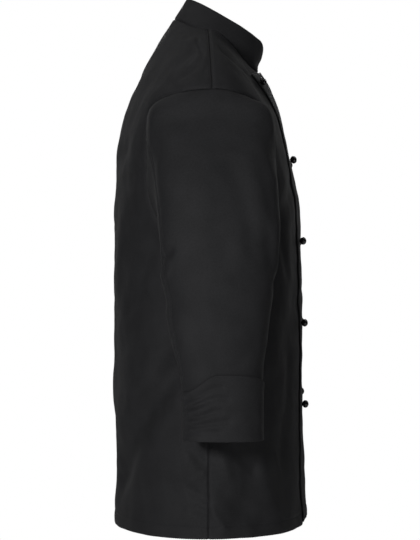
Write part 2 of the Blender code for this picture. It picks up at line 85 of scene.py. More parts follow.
OVER_REACH = ((0, 84), (420, 80), (560, 85), (620, 95), (650, 106), (690, 113), (712, 119), (772, 119))
UNDER_REACH = ((0, 68), (680, 66), (710, 42), (735, 14), (772, 2))
OVER_CORNER_LEVEL = 712.0
OVER_HEM_RISE = 5.0
UNDER_CORNER_LEVEL = 725.0
OVER_LIFT = 2.5
HEM_LIFT = 2.5
HEM_LIFT_LEVELS = (0.0, 140.0)
HEM_LIFT_WIDTH = (-80.0, 20.0)
LIFT_START = (100.0, 18.0)
LIFT_FULL = (72.0, 3.0)
LIFT_LEVELS = (695.0, 765.0)

# Inner edge's x and height, outer edge's x and height, front y, back y, squareness, tuck and lean.
SLEEVE_RINGS = (
    (235.5, 416, 259, 624, -96.5, 86, 7.5, -27, 2),
    (239.5, 406, 272, 594, -98.5, 78, 5.0, -15, 4),
    (241, 386, 293, 548, -100, 72, 3.6, -6, 4),
    (242, 355, 313, 492, -99, 67.5, 2.8, 0, 2),
    (243, 322, 325, 430, -95, 65, 2.5, 0, 0),
    (244.5, 288, 331, 368, -88.5, 59, 2.4, 0, 0),
    (247.5, 256, 334, 308, -82.5, 50.5, 2.3, 0, 0),
    (251, 225, 334, 261, -77.5, 41, 2.3, 0, 0),
    (254.5, 193, 333, 210, -75.7, 34.5, 2.3, 0, 0),
    (256.5, 147, 332, 147, -75.7, 33.3, 2.3, 0, 0),
)
SLEEVE_HEM = 0.992
SLEEVE_SPOKES = 24
BACK_SEAM = 17 / SLEEVE_SPOKES  # round the sleeve from the underarm, by the front
INNER_SEAM = 4 / SLEEVE_SPOKES
SLEEVE_GIRTH = 430.0
SLEEVE_LENGTH = 500.0
CUFF_CLEARANCE = 0.5
CUFF_WALL = 2.2
CUFF_HEIGHT = 90.0
CUFF_SIDES = 108
CUFF_TOP_FRONT = 0.812  # shares along the sleeve
CUFF_TOP_BACK = 0.852
CUFF_TOP_RISE = (-18.0, 26.0)
CUFF_FADE = 0.03  # the share above the cuff's top where the sleeve's relief ends

COLLAR_BACK = (33.0, 803.0)
COLLAR_FRONT = (-82.0, 736.5)
COLLAR_HALF_WIDTH = 61.0
COLLAR_CORNER = 23.0
COLLAR_FLARE = 6.5
COLLAR_HEIGHT_FRONT = 45.0
COLLAR_END_ANGLE = 1.6

BUTTON_RADIUS = 5.9
BUTTON_HEIGHT = 9.2
BUTTON_NECK = 2.6
BUTTON_STANDOFF = 1.1
BALL_SQUASH = 0.82  # height of the ball as a share of its width
BALL_LOW = 62.0  # degrees below its middle, where the neck starts
NECK_TOP = 1.2
BUTTON_SIDES = 32
# Height, the right and the left button's distance from the middle, and how much higher the left one is.
BUTTON_ROWS = (
    (661.5, 104, 98, 0),
    (549, 73, 73, 0),
    (428, 66, 66, 0),
    (304, 66, 66, 0),
    (181, 66, 66, 11),
)

# -------- folds

FOLD_RADIUS = 200.0
PER_DEGREE = radians(1) * FOLD_RADIUS  # millimetres across the tables for a degree round the body
# The solids' folds of the body: angle in degrees from centre front to the wearer's right, and level, at both
# ends, then depth, width and bow in millimetres.
BODY_FOLDS = (
    (104, 250, 150, 80, -5.0, 26, 0),
    (122, 300, 158, 170, 3.5, 30, 0),
    (20, 520, 52, 440, -4.5, 20, 0),
    (36, 380, 60, 250, 3.0, 34, 0),
    (66, 120, 74, -20, -3.5, 22, 0),
    (118, 60, 124, -20, 3.0, 26, 0),
    (-22, 515, -50, 452, -4.0, 22, 0),
    (-40, 360, -62, 235, 3.0, 32, 0),
    (-102, 262, -146, 96, -4.5, 28, 0),
    (-128, 290, -160, 165, 3.5, 30, 0),
    (-68, 130, -78, -20, -3.0, 24, 0),
    (168, 420, 190, 250, -1.5, 34, 0),
    (178, 200, 170, 40, 1.5, 36, 0),
)
# The scene's own creases, in the same terms. The left side has their mirror images.
BODY_CREASES = (
    (117, 688, 108, 706, -4.2, 10, 0),
    (104, 728, 97, 702, -2.8, 6, 0),
    (107, 672, 101, 690, 2.6, 6, 0),
    (112, 662, 103, 672, -2.6, 5, 1),
    (99, 662, 95, 684, 2.0, 6, 0),
    (120, 655, 112, 640, -2.2, 8, 0),
    (78, 716, 52, 704, -2.6, 7, 4),
    (80, 702, 54, 690, 1.6, 9, 4),
    (107, 240, 159, 68, -8.5, 24, 8),
    (98, 300, 146, 158, 5.0, 26, 6),
    (112, 52, 148, 38, -4.5, 36, 0),
    (118, 420, 138, 330, -3.2, 18, 0),
    (146, 470, 156, 360, 2.6, 20, 0),
    (98, 126, 94, 112, -5.0, 10, 0),
    (76, 122, 64, 100, -4.5, 11, 0),
    (84, 118, 80, 92, 3.0, 9, 0),
    (100, 72, 91, 58, -4.2, 7, 2),
    (97, 44, 90, 38, -3.4, 6, 0),
    (88, 36, 83, 18, 3.0, 7, 0),
    (93, 94, 100, 82, 3.2, 8, 0),
    (82, 60, 60, 20, -3.6, 16, 0),
    (46, 470, 38, 380, -3.0, 13, 0),
    (34, 250, 40, 120, -3.0, 16, 0),
    (58, 90, 46, 12, 3.2, 18, 0),
)
# Creases without a mirror image, most of them near the middle.
CENTRE_CREASES = (
    (-6, 612, -30, 590, -1.8, 9, 1),
    (-16, 480, -44, 452, -2.4, 11, 2),
    (4, 362, 20, 330, -1.8, 12, 0),
    (-10, 300, -36, 262, -2.6, 13, 2),
    (-14, 176, -40, 130, -2.8, 15, 0),
    (-60, 66, -52, 6, -3.2, 15, 0),
    (166, 668, 196, 655, -2.0, 12, 2),
    (150, 560, 170, 520, -2.8, 17, 0),
    (186, 500, 206, 440, -3.2, 18, 2),
    (170, 380, 176, 260, -2.6, 20, 0),
    (204, 310, 188, 210, -3.4, 20, -3),
    (178, 150, 196, 30, -3.8, 22, 0),
    (236, 640, 226, 610, -2.4, 10, 0),
    (252, 352, 240, 300, -2.8, 14, 0),
)

# The solids' folds of a sleeve: shares round from the underarm by the front, and shares along, at both ends.
SLEEVE_FOLDS = (
    (0.38, 0.26, 0.33, 0.47, -2.5, 14, 0),
    (0.33, 0.22, 0.29, 0.42, 2.0, 16, 0),
    (0.80, 0.50, 0.68, 0.58, -3.0, 14, 0),
    (0.42, 0.10, 0.62, 0.10, -2.5, 16, 0),
)
FOLD_START = 0.04  # the share along the sleeve where its folds have their full depth
# The scene's own creases of a sleeve, in the same terms.
SLEEVE_CREASES = (
    (0.38, 0.15, 0.64, 0.145, -2.4, 26, 0),
    (0.47, 0.24, 0.40, 0.47, -3.2, 13, 4),
    (0.417, 0.22, 0.365, 0.36, 2.6, 13, 0),
    (0.55, 0.20, 0.53, 0.62, 2.0, 22, 0),
    (0.752, 0.415, 0.66, 0.45, -4.2, 8, 3),
    (0.74, 0.46, 0.68, 0.50, 2.4, 8, 0),
    (0.30, 0.50, 0.44, 0.56, -2.4, 12, 3),
    (0.64, 0.60, 0.52, 0.70, -1.6, 14, 0),
    (0.36, 0.72, 0.44, 0.80, -2.0, 12, 0),
    (0.12, 0.40, 0.26, 0.47, -3.0, 12, 2),
    (0.08, 0.55, 0.20, 0.60, -2.2, 10, 0),
)
# Creases of the cuff: millimetres round it from the underarm by the front, and down from its top edge.
CUFF_CREASES = (
    (214, 16, 292, 12, -2.4, 4.2, 2),
    (232, 23, 288, 21, 1.4, 4, 0),
    (206, 31, 292, 28, -2.8, 4.6, -2),
    (236, 39, 286, 38, 1.6, 4, 0),
    (220, 47, 292, 48, -2.5, 4.4, 2),
    (236, 54, 280, 55, 1.4, 4, 0),
    (204, 61, 292, 62, -2.8, 4.6, 2),
    (236, 69, 286, 70, 1.4, 4, 0),
    (222, 77, 290, 76, -2.2, 4, -2),
    (150, 52, 196, 46, -0.9, 7, 0),
    (120, 70, 150, 64, -0.8, 7, 0),
)
# Creases of the collar: millimetres along it from its right end, and up from the neck seam.
COLLAR_CREASES = ((150, 30, 160, 26, -0.8, 8, 0),)

# -------- sewing

CLOTH = 1.0  # the shells' thickness
COLLAR_CLOTH = 2.0
CUFF_CLOTH = 2.0
EDGE_CLOTH = 2.0
EDGE_FACING = (24.0, 18.0)  # from the over front's edge, where its second layer ends
EDGE_ROUND = 0.3  # how far a shell's edge bulges, as a share of its thickness
MITRE_REACH = 8.0
JOIN_REACH = 0.02
STITCH_LENGTH = 2.3
STITCH_PITCH = 3.3
STITCH_RADIUS = 0.26
STITCH_SIDES = 6
# Half a stitch from its middle: shares of half its length and of its radius, and the height.
HALF_STITCH = ((0.3, 1, 0.1), (0.8, 0.75, -0.05), (1, 0.15, -0.3))
CLOSE_STITCH = 2.6  # from the seam or edge
TOPSTITCH = 6.0
HEM_STITCH = 17.0
SEAM_WIDTH = 1.5
STITCH_TROUGH = 0.7
TROUGH_WIDTH = 1.0
STITCH_PILLOW = 0.45
# Each seam's dip, the distance of its stitches, the height of its puckers and the depth of its ledge.
BODY_SEAMS = {
    "side": (1.8, 0, 1.3, 0),
    "shoulder": (2.5, CLOSE_STITCH, 0.3, 0),
    "armhole": (2.2, CLOSE_STITCH, 0.3, 0),
}
NECK_DIP = 2.2
NECK_SEAM = [("neck", NECK_DIP, 0, 0.3, 0)]
UNDER_SLEEVE_SEAMS = {
    "armhole": (2.2, 0, 0.6, 1.0),
    "inner_seam": (1.4, 0, 0.5, 0),
    "back_seam": (2.0, 0, 0.4, 0),
}
TOP_SLEEVE_SEAMS = UNDER_SLEEVE_SEAMS | {"back_seam": (2.0, TOPSTITCH, 0.4, 0)}
LEDGE_WIDTH = 6.0
PUCKER_LENGTH = 24.0
PUCKER_REACH = 15.0
PUCKER_START = 4.0
PUCKER_PATCH = 170.0  # the puckers grow and fade over this length, about their mean
PUCKER_MEAN = 0.6
PUCKER_CHANGE = 0.5
SEAM_STEPS = (0, 1.1, 2.2, 3.6, 5.0, 6.0, 7.0, 8.6, 11, 14)
HEM_STEPS = (0, 1.2, 3, 6.5, 11, 15, 16.2, 17, 17.8, 19, 22, 25.5)
PLAIN_STEPS = (0,)
COLLAR_STEPS = (0, 1, 2, 3.2, 4.5, 6, 7.5, 9.5, 12, 15, 18, 21)
CUFF_STEPS = (0, 1, 2.2, 4, 6.5)
STEP = 4.4
SLEEVE_STEP = 4.0
COLLAR_STEP = 3.6
FINE_STEP = 3.0
# Lengths that set how many steps the grids of the body have.
CORNER_RUN = 75
BESIDE_RUN = 150
ACROSS_RUN = 175
BELOW_RUN = 440
ABOVE_RUN = 150
FLAP_RUN = 84
UNDER_HEM_END = -0.35  # radians from centre front, on the left
EDGE_SKIP = (20, 14)  # ends of a seam without stitches
SLEEVE_SKIP = (4, 96)

# -------- worn cloth

# Wavelengths and heights of the soft unevenness, and its seeds.
SOFT_WAVES = ((150, 1.8), (62, 0.9), (26, 0.26))
CUFF_WAVES = ((60, 0.3), (20, 0.12))
COLLAR_WAVES = ((70, 0.5), (25, 0.2))
SOFT_START = 30.0  # from a seam
WAVE_COUNT = 7  # sine waves in a wavy line, the spread of their lengths, and the height of their sum
WAVE_SPREAD = (0.65, 1.6)
WAVE_PEAK = 3.2
FIELD_COUNT = 12
FIELD_SPREAD = (0.7, 1.5)
FIELD_PEAK = 4.0
PUCKER_SEED = 3
PATCH_SEED = 5
BODY_SEED = 11
SLEEVE_SEED = 21
CUFF_SEED = 31
COLLAR_SEED = 41
EDGE_CURL = 0.9
CURL_REACH = 15.0
CURL_LOW = (560, 640)  # levels between which the curl begins, and then ends
CURL_HIGH = (765, 700)
CUFF_FLARE = 0.4
CUFF_FLARE_REACH = 9.0
END_TUCK = 3.5  # how much closer the collar's ends lie, at most, and where that is
END_TUCK_HEIGHT = 10.0
END_TUCK_WIDTH = 9.0
END_TUCK_REACH = 26.0

# -------- finish

TWILL_PITCH = 0.0009
TWILL_SLANT = 1.25
TWILL_BUMP = {"Strength": 0.35, "Distance": 0.00012}
CLOTH_COLOUR = (0.0185, 0.0185, 0.0202)
CLOTH_ROUGHNESS = 0.72
CLOTH_SHINE = {"Specular IOR Level": 0.3, "Sheen Weight": 0.01, "Sheen Roughness": 0.45}
THREAD_SHINE = {"Sheen Weight": 0.01}
BUTTON_SHINE = {"Coat Weight": 0.5, "Coat Roughness": 0.06}
YARN = (900, 2)  # scale and detail of a noise
CLOUD = (28, 3)
FLECK = (420, 1)
YARN_ROUGHNESS = 0.12
TONE = {"From Min": 0.3, "From Max": 0.7, "To Min": 0.74, "To Max": 1.26}
THREAD_COLOUR = (0.015, 0.015, 0.016)
BUTTON_COLOUR = (0.008, 0.008, 0.009)
FLOOR_COLOUR = (0.75, 0.75, 0.75)
# A plain finish's middle roughness, and the scale, span and lowest value of the noise that it follows.
THREAD_ROUGHNESS = (0.5, 1500, 0.2, 0.4)
BUTTON_ROUGHNESS = (0.16, 260, 0.1, 0.1)
FLOOR_ROUGHNESS = (0.9, 3, 0.1, 0.85)

# -------- studio, in metres

FLOOR_HEIGHT = -1.15
WORLD_LIGHT = 0.015
LIGHT_TARGET = Vector((0, 0, -0.37))
# Each light's azimuth from the camera towards the back, elevation, distance, width, height and power.
LIGHTS = {
    "key": (22, 9, 2.6, 0.36, 0.36, 27.0),
    "key_high": (26, 34, 2.6, 0.6, 0.6, 1.2),
    "front_low": (-38, -8, 2.6, 0.5, 0.5, 3.6),
    "top_back": (120, 64, 2.3, 1.3, 1.3, 6.0),
    "top_front": (-80, 58, 2.3, 0.9, 0.9, 4.4),
    "rim_back": (150, 12, 2.6, 0.8, 1.6, 3.8),
    "rim_front": (-150, 16, 2.6, 0.8, 1.6, 4.2),
    "far": (180, 16, 2.6, 0.9, 0.9, 24.0),
}
CAMERA_PLACE = (-3.0, -0.0031, -0.363)
CAMERA_LENS = 129.03

# -------- curves and surfaces

BODY = dict(zip(BODY_COLUMNS, np.array(BODY_RINGS, float).T))


def smooth_grid(keys, values, at):
    """Smooth curves through values[key, place], read at at[row, place]."""
    slopes = np.gradient(values, keys, axis=0)
    first = np.clip(np.searchsorted(keys, at) - 1, 0, len(keys) - 2)
    place = np.broadcast_to(np.arange(values.shape[1]), first.shape)
    span = (keys[first + 1] - keys[first])[..., None]
    part = (at - keys[first])[..., None] / span
    low, high = values[first, place], values[first + 1, place]
    start, end = slopes[first, place] * span, slopes[first + 1, place] * span
    curve = start * part * (1 - part) ** 2 - end * (1 - part) * part**2
    return low + (high - low) * part**2 * (3 - 2 * part) + curve


def smooth(keys, values, at):
    """A smooth curve through the values, read at the given places."""
    at = np.asarray(at, float)
    return smooth_grid(keys, values[:, None, None], at.reshape(-1, 1)).reshape(at.shape)


def blend(low, high, share):
    return low + (high - low) * share


def ease(low, high, value):
    part = np.clip((value - low) / (high - low), 0, 1)
    return part * part * (3 - 2 * part)


def points_at(places_at, keys, points):
    """Points between those of a line, read at the given keys."""
    return np.stack([np.interp(places_at, keys, column) for column in points.T], axis=-1)


def unit(vectors):
    return vectors / np.maximum(np.linalg.norm(vectors, axis=-1, keepdims=True), 1e-12)


def run_along(points):
    return np.concatenate([[0], np.cumsum(np.linalg.norm(np.diff(points, axis=0), axis=1))])


def places(length, start_steps=PLAIN_STEPS, end_steps=PLAIN_STEPS, step=STEP):
    """Shares from 0 to 1 along a length in millimetres, close together at the ends that are sewn."""
    room = length - start_steps[-1] - end_steps[-1]
    count = max(int(ceil(room / step)), 1)
    middle = start_steps[-1] + np.linspace(0, room, count + 1)
    ends = [length - value for value in end_steps[-2::-1]] if len(end_steps) > 1 else []
    return np.concatenate([start_steps[:-1], middle, ends]) / length


def body_ring(name, level):
    return smooth(BODY["level"], BODY[name], level)


def body_base(angle, level):
    """Points in millimetres on the body without folds. The angle runs from centre front to the right."""
    front = np.cos(angle) >= 0
    side = np.abs(np.sin(angle))
    power = 2 / body_ring("square", level)
    depth = np.abs(np.cos(angle)) ** power
    end_y = np.where(front, body_ring("front_y", level), body_ring("back_y", level))
    end_h = np.where(front, body_ring("front_h", level), level)
    rise = side ** np.where(front, FRONT_RISE_POWER, BACK_RISE_POWER)
    x = -np.sign(np.sin(angle)) * body_ring("side_x", level) * side**power
    y = blend(body_ring("side_y", level), end_y, depth)
    h = blend(end_h, body_ring("side_h", level), rise)
    return np.stack([x, y, h], axis=-1)


def fold_depth(table, across, along):
    """The sum of soft troughs and ridges. Places are in millimetres, and so are the table's ends."""
    total = np.zeros(np.shape(across))
    place = np.stack([across, along], axis=-1)
    for start_x, start_y, end_x, end_y, depth, width, bow in table:
        start = np.array([start_x, start_y])
        run = np.array([end_x, end_y]) - start
        length = np.linalg.norm(run)
        away = place - start
        share = (away @ run) / length**2
        inside = np.clip(share, 0, 1)
        past = (share - inside) * length
        side = (away @ np.array([-run[1], run[0]])) / length - bow * 4 * inside * (1 - inside)
        total += depth * np.exp(-((side / width) ** 2) - (past / width) ** 2)
    return total


def scaled(table, across, along):
    """The fold table with its ends in millimetres."""
    return [(row[0] * across, row[1] * along, row[2] * across, row[3] * along, *row[4:]) for row in table]


def surface_normals(surface, angle, level):
    step_angle, step_level = 0.004, 0.6
    up = surface(angle, np.minimum(level + step_level, NECK_LEVEL)) - surface(angle, level - step_level)
    round_right = surface(angle + step_angle, level) - surface(angle - step_angle, level)
    return unit(np.cross(up, round_right))


def body_folds(angle, level):
    turn = np.degrees((angle + pi / 2) % (2 * pi) - pi / 2)
    table = scaled(BODY_FOLDS, PER_DEGREE, 1)
    return sum(fold_depth(table, (turn - shift) * PER_DEGREE, level) for shift in (0, 360))


def body_form(angle, level):
    """Points on the body with its large folds: the outer face of the solids."""
    folds = body_folds(angle, level)
    return body_base(angle, level) + folds[..., None] * surface_normals(body_base, angle, level)


def sleeve_rings(side, around):
    """The sleeve's rings at shares round from the underarm by the front. side is 1 for the right."""
    around = around % 1.0
    front = around <= 0.5
    share = np.where(front, around * 2, 2 - around * 2)
    rings = np.empty((len(SLEEVE_RINGS) + 1, len(around), 3))
    turn = np.linspace(-pi / 2, pi / 2, 181)
    for half in (True, False):
        chosen = front == half
        angle, level = armhole(half, share[chosen])
        rings[0, chosen] = body_form(side * angle, level)
        for number, row in enumerate(SLEEVE_RINGS, start=1):
            inner_x, inner_h, outer_x, outer_h, front_y, back_y, square, tuck, lean = row
            climb, bulge = half_oval(turn, square)
            x = (inner_x + outer_x) / 2 + (outer_x - inner_x) / 2 * climb + tuck * bulge**2
            h = (inner_h + outer_h) / 2 + (outer_h - inner_h) / 2 * climb
            middle = (front_y + back_y) / 2
            y = blend(middle, front_y if half else back_y, bulge) + lean * climb
            line = np.stack([-side * x, y, h], axis=-1)
            length = run_along(line)
            rings[number, chosen] = points_at(share[chosen] * length[-1], length, line)
    return rings


def sleeve_keys(side):
    middles = sleeve_rings(side, np.arange(SLEEVE_SPOKES) / SLEEVE_SPOKES).mean(axis=1)
    run = run_along(middles)
    return run / run[-1]


def sleeve_smooth(side, around, along):
    return smooth_grid(sleeve_keys(side), sleeve_rings(side, around), along)


def sleeve_normals(surface, side, around, along):
    """Outward normals of a sleeve surface."""
    step_around, step_along = 0.003, 0.004
    across = surface(side, around + step_around, along) - surface(side, around - step_around, along)
    lower, upper = np.minimum(along + step_along, 1), np.maximum(along - step_along, 0)
    return unit(np.cross(across, surface(side, around, lower) - surface(side, around, upper))) * side


def sleeve_form(side, around, along):
    """Points on the sleeve with its large folds. around is a row of shares, along a grid of them."""
    points = sleeve_smooth(side, around, along)
    normals = sleeve_normals(sleeve_smooth, side, around, along)
    table = scaled(SLEEVE_FOLDS, SLEEVE_GIRTH, SLEEVE_LENGTH)
    folds = fold_depth(table, (around % 1.0) * SLEEVE_GIRTH * np.ones_like(along), along * SLEEVE_LENGTH)
    return points + (folds * ease(0, FOLD_START, along))[..., None] * normals


def grid_normals(points):
    """Normals of a grid that surrounds a hollow, facing out of it."""
    normals = unit(np.cross(np.gradient(points, axis=1), np.gradient(points, axis=0)))
    middles = points.mean(axis=1, keepdims=True)
    return normals * np.sign(np.sum(normals * (points - middles)))


def collar_form():
    """The collar's points, normals, run along its top edge, and angles, from its right end round the back."""
    end = radians(COLLAR_END_ANGLE)
    dense = np.linspace(end, 2 * pi - end, 3000)

    def top_edge(angles):
        middle = (COLLAR_BACK[0] + COLLAR_FRONT[0]) / 2
        y = blend(middle, COLLAR_FRONT[0], np.cos(angles))
        slope = (COLLAR_BACK[1] - COLLAR_FRONT[1]) / (COLLAR_BACK[0] - COLLAR_FRONT[0])
        h = COLLAR_FRONT[1] + slope * (y - COLLAR_FRONT[0])
        return np.stack([-COLLAR_HALF_WIDTH * np.sin(angles), y, h], axis=-1)

    length = run_along(top_edge(dense))
    places_along = places(length[-1], COLLAR_STEPS, COLLAR_STEPS, COLLAR_STEP) * length[-1]
    angles = np.interp(places_along, length, dense)
    seam = body_form(angles, np.full(angles.shape, NECK_LEVEL))
    top = top_edge(angles)
    run = np.interp(angles, dense, length)
    from_end = np.minimum(run, length[-1] - run)
    short = np.clip(1 - from_end / COLLAR_CORNER, 0, 1)
    drop = COLLAR_CORNER * (1 - np.sqrt(1 - short**2)) / COLLAR_HEIGHT_FRONT
    top[:, 1] -= COLLAR_FLARE * short
    rows = places(COLLAR_HEIGHT_FRONT, SEAM_STEPS, SEAM_STEPS, FINE_STEP)
    points = seam + (top - seam) * rows[:, None, None] * (1 - drop)[:, None]
    return points, grid_normals(points), run, angles


def angle_at_y(y, level, front):
    end_y = body_ring("front_y" if front else "back_y", level)
    side_y = body_ring("side_y", level)
    depth = np.clip((y - side_y) / (end_y - side_y), 0, 1)
    turn = np.arccos(depth ** (body_ring("square", level) / 2))
    return turn if front else pi - turn


def angle_at_x(x, level):
    share = np.clip(np.abs(x) / body_ring("side_x", level), 0, 1)
    return np.sign(x) * np.arcsin(share ** (body_ring("square", level) / 2))


def ring_angle(shares, level, front):
    """Angles from the centre line at shares of the quarter ring's length."""
    turn = np.linspace(0, pi / 2, 400)
    angles = turn if front else pi - turn
    length = run_along(body_base(angles, np.full(400, float(level))))
    return np.interp(np.asarray(shares) * length[-1], length, turn)


def half_oval(turn, square):
    """The height and reach of the armhole's half oval, from -1 to 1 and from 0 to 1."""
    power = 2 / np.where(turn < 0, ARMHOLE_LOW_SQUARE, square)
    return np.sign(np.sin(turn)) * np.abs(np.sin(turn)) ** power, np.abs(np.cos(turn)) ** power


def armhole(front, shares):
    """Angles and levels of half the armhole seam at shares from the underarm to the shoulder."""
    turn = np.linspace(-pi / 2, pi / 2, 721)
    climb, reach = half_oval(turn, ARMHOLE_TOP_SQUARE)
    level = (SHOULDER_LEVEL + UNDERARM_LEVEL) / 2 + (SHOULDER_LEVEL - UNDERARM_LEVEL) / 2 * climb
    side_y = body_ring("side_y", level)
    edge_y = ARMHOLE_FRONT_Y if front else ARMHOLE_BACK_Y
    y = blend(side_y, edge_y, reach)
    level = level - ARMHOLE_DROP[front] * reach**2 * np.maximum(climb, 0)
    length = np.concatenate([[0], np.cumsum(np.hypot(np.diff(y), np.diff(level)))])
    even = np.asarray(shares) * length[-1]
    level = np.interp(even, length, level)
    return angle_at_y(np.interp(even, length, y), level, front), level


def half_blocks(front, hem_rise=0.0):
    """The angles and levels of three blocks: below the armhole, beside it and above it."""
    low = places(CORNER_RUN, SEAM_STEPS) * ARMHOLE_LOW_CORNER
    middle = ARMHOLE_LOW_CORNER + places(BESIDE_RUN) * (ARMHOLE_TOP_CORNER - ARMHOLE_LOW_CORNER)
    top = ARMHOLE_TOP_CORNER + places(CORNER_RUN, PLAIN_STEPS, SEAM_STEPS) * (1 - ARMHOLE_TOP_CORNER)
    across = places(ACROSS_RUN, PLAIN_STEPS, SEAM_STEPS)

    def seam(shares):
        angle, level = armhole(front, shares)
        return (angle if front else pi - angle), level

    def block(shares, start, rows):
        """Rows between the hem or neck and the row that follows the armhole."""
        below_it = start == 0
        angle, level = seam(shares[::-1] if below_it else shares)
        angles = np.concatenate([across[:-1] * angle[0], angle])
        levels = np.concatenate([np.full(len(across) - 1, level[0]), level])
        near = (shares - shares.min()) / np.ptp(shares)
        near = 1 - near[::-1] if below_it else near
        all_shares = np.linspace(0, 1, 201)
        at_corner = np.interp(CORNER_TURN, ring_angle(all_shares, start, front), all_shares)
        ring_shares = np.concatenate([across[:-1] * at_corner, at_corner + (1 - at_corner) * near])
        even = ring_angle(ring_shares, start, front)
        rise = hem_rise * (1 - even / (pi / 2)) if below_it else start
        return blend(even, angles, rows[:, None]), blend(rise, levels, rows[:, None])

    below = block(low, 0, places(BELOW_RUN, HEM_STEPS, SEAM_STEPS))
    angle, level = seam(middle)
    beside = (angle[:, None] * across, level[:, None] * np.ones(len(across)))
    above = block(top, NECK_LEVEL, places(ABOVE_RUN, SEAM_STEPS, SEAM_STEPS))
    return below, beside, (above[0][::-1], above[1][::-1])


def overlap_blocks(reach_table, corner_level, hem_rise=0.0):
    """The strip of a front that crosses centre front, with its top edge falling to the corner."""
    share = places(FLAP_RUN, PLAIN_STEPS, SEAM_STEPS)
    reach = np.array(reach_table, float).T
    blocks = []
    for _, level in half_blocks(True, hem_rise):
        level = level[:, :1] * np.ones(len(share))
        top_share = (level - level[0, 0]) / (NECK_LEVEL - level[0, 0])
        if level[-1, 0] == NECK_LEVEL:
            level = level - top_share * share * (NECK_LEVEL - corner_level)
        blocks.append((angle_at_x(share * np.interp(level, *reach), level), level))
    return blocks


def over_lift(x, level):
    climb = ease(*LIFT_LEVELS, level)
    height = OVER_LIFT + HEM_LIFT * (1 - ease(*HEM_LIFT_LEVELS, level)) * ease(*HEM_LIFT_WIDTH, x)
    return height * (1 - ease(blend(*LIFT_FULL, climb), blend(*LIFT_START, climb), x))


# -------- seams and their relief


def tree_of(points, numbers):
    tree = KDTree(len(numbers))
    for number in numbers:
        tree.insert(points[number], int(number))
    tree.balance()
    return tree


class Line:
    """A seam or edge: points in millimetres with their normals, for distances and for stitches."""

    def __init__(self, points, normals):
        self.points = points
        self.normals = normals
        self.run = run_along(points)
        self.tree = tree_of(points, range(len(points)))

    def near(self, points):
        """For each point, the distance to the line and the number of the nearest line point."""
        found = [self.tree.find(point) for point in points]
        return np.array([one[2] for one in found]), np.array([one[1] for one in found])


def body_line(angle, level):
    angle, level = np.broadcast_arrays(np.asarray(angle, float), np.asarray(level, float))
    return Line(body_base(angle, level), surface_normals(body_base, angle, level))


def seam_relief(away, dip, stitch):
    """A seam's valley, and beside it the row of stitches pulled into the cloth."""
    relief = -dip * np.exp(-((away / SEAM_WIDTH) ** 2))
    if stitch:
        relief -= STITCH_TROUGH * np.exp(-(((away - stitch) / TROUGH_WIDTH) ** 2))
        relief += STITCH_PILLOW * np.exp(-(((away - stitch / 2) / (stitch / 3)) ** 2))
    return relief


def waves(values, wavelength, seed):
    """A wavy line of numbers from about -1 to 1, the same each run."""
    random = np.random.RandomState(seed)
    total = np.zeros(np.shape(values))
    for _ in range(WAVE_COUNT):
        rate = 2 * pi / (wavelength * random.uniform(*WAVE_SPREAD))
        total += np.sin(values * rate + random.uniform(0, 2 * pi))
    return total / WAVE_PEAK


def field(points, wavelength, seed):
    """A soft bumpy field of numbers from about -1 to 1 in space, the same each run."""
    random = np.random.RandomState(seed)
    total = np.zeros(points.shape[:-1])
    for _ in range(FIELD_COUNT):
        direction = unit(random.normal(size=3))
        rate = 2 * pi / (wavelength * random.uniform(*FIELD_SPREAD))
        total += np.sin(points @ (direction * rate) + random.uniform(0, 2 * pi))
    return total / FIELD_PEAK


def softness(points, waves_table, seed):
    """The sum of soft fields, each with its wavelength and height."""
    fields = [field(points, length, seed + k) * height for k, (length, height) in enumerate(waves_table)]
    return sum(fields)


def seams_of(forms, *words):
    """The seams of a piece, on the sides that it has."""
    return [(f"{seam}_{word}", *form) for seam, form in forms.items() for word in words]


fine = np.linspace(0, 1, 900)
SIDE_TURN = pi / 2
LINES = {}
for side, word in SIDES:
    LINES[f"side_{word}"] = body_line(side * SIDE_TURN, fine * UNDERARM_LEVEL)
    LINES[f"shoulder_{word}"] = body_line(side * SIDE_TURN, blend(SHOULDER_LEVEL, NECK_LEVEL, fine))
    points, mitres = [], []
    for front in (True, False):
        shares = fine if front else fine[::-1]
        angle, level = armhole(front, shares)
        points.append(body_form(side * angle, level))
        around = shares / 2 if front else 1 - shares / 2
        along = np.zeros((1, len(shares)))
        on_sleeve = sleeve_normals(sleeve_form, side, around, along)[0]
        mitres.append(unit(surface_normals(body_form, side * angle, level) + on_sleeve))
    LINES[f"armhole_{word}"] = Line(np.concatenate(points), np.concatenate(mitres))

collar_points, collar_normals, collar_run, collar_angles = collar_form()
neck_turn = np.linspace(0, 2 * pi, 1600)
neck_levels = np.full(neck_turn.shape, NECK_LEVEL)
neck_normals = surface_normals(body_form, neck_turn, neck_levels)
on_collar = points_at(neck_turn, collar_angles, collar_normals[0])
LINES["neck"] = Line(body_form(neck_turn, neck_levels), unit(neck_normals + on_collar))

for side, word in SIDES:
    for seam, around in (("back_seam", BACK_SEAM), ("inner_seam", INNER_SEAM)):
        along = np.linspace(0, SLEEVE_HEM, 800)[:, None]
        points = sleeve_form(side, np.array([around]), along)[:, 0]
        normals = sleeve_normals(sleeve_form, side, np.array([around]), along)[:, 0]
        LINES[f"{seam}_{word}"] = Line(points, normals)

# -------- cloth


